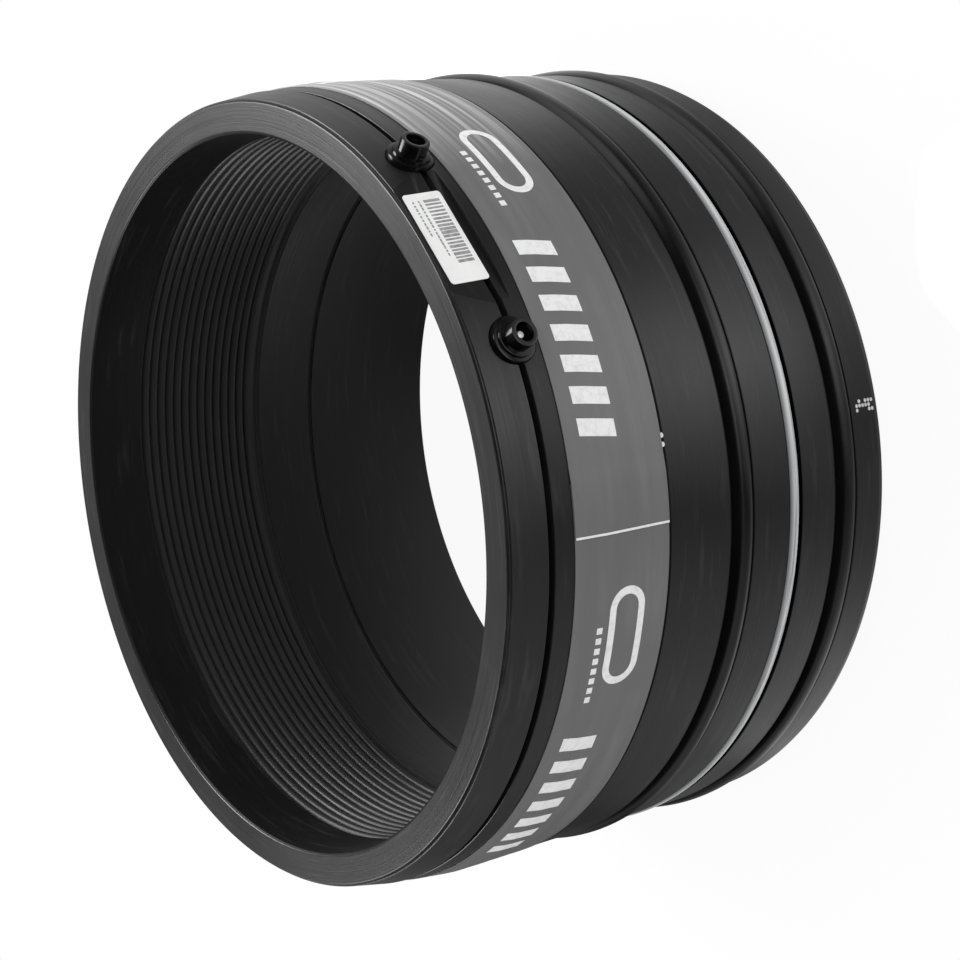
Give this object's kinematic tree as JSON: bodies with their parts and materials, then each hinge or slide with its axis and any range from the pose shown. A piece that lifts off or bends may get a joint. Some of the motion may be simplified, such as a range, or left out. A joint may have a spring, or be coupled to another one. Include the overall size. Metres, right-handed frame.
{
  "type": "electrofusion pipe coupler with ringed push-in end",
  "caption": "Short black plastic pipe coupler: one end fuses onto a pipe with a wound heating coil in its bore, the other pushes into a bore on raised rubber rings.",
  "frame": {"origin": "centre of the ring end's face, on the axis, where the part stands", "axes": "+Z along the axis towards the fusion rim; the label and the terminals face about -Y"},
  "size_m": [0.4583, 0.4584, 0.258],
  "materials": {
    "body_plastic": "satin, turned and scuffed in places",
    "coil_coat": "satin",
    "lead_copper": "drawn wire",
    "shroud_plastic": "glossy moulded",
    "pin_metal": "bright tinned",
    "tape_film": "satin printed film",
    "label_paper": "coated",
    "seal_rubber": "semi-gloss",
    "marker_cord": "matt"
  },
  "bodies": {
    "root": {"socket_body": "body_plastic", "heating_coil": "coil_coat", "coil_lead_start": "lead_copper", "coil_lead_return": "lead_copper", "terminal_shroud_a": "shroud_plastic", "terminal_shroud_b": "shroud_plastic", "contact_pin_a": "pin_metal", "contact_pin_b": "pin_metal", "wrap_tape": "tape_film", "barcode_label": "label_paper", "seal_ring_front": "seal_rubber", "seal_ring_rear": "seal_rubber", "marker_ring": "marker_cord"}
  },
  "joints": []
}
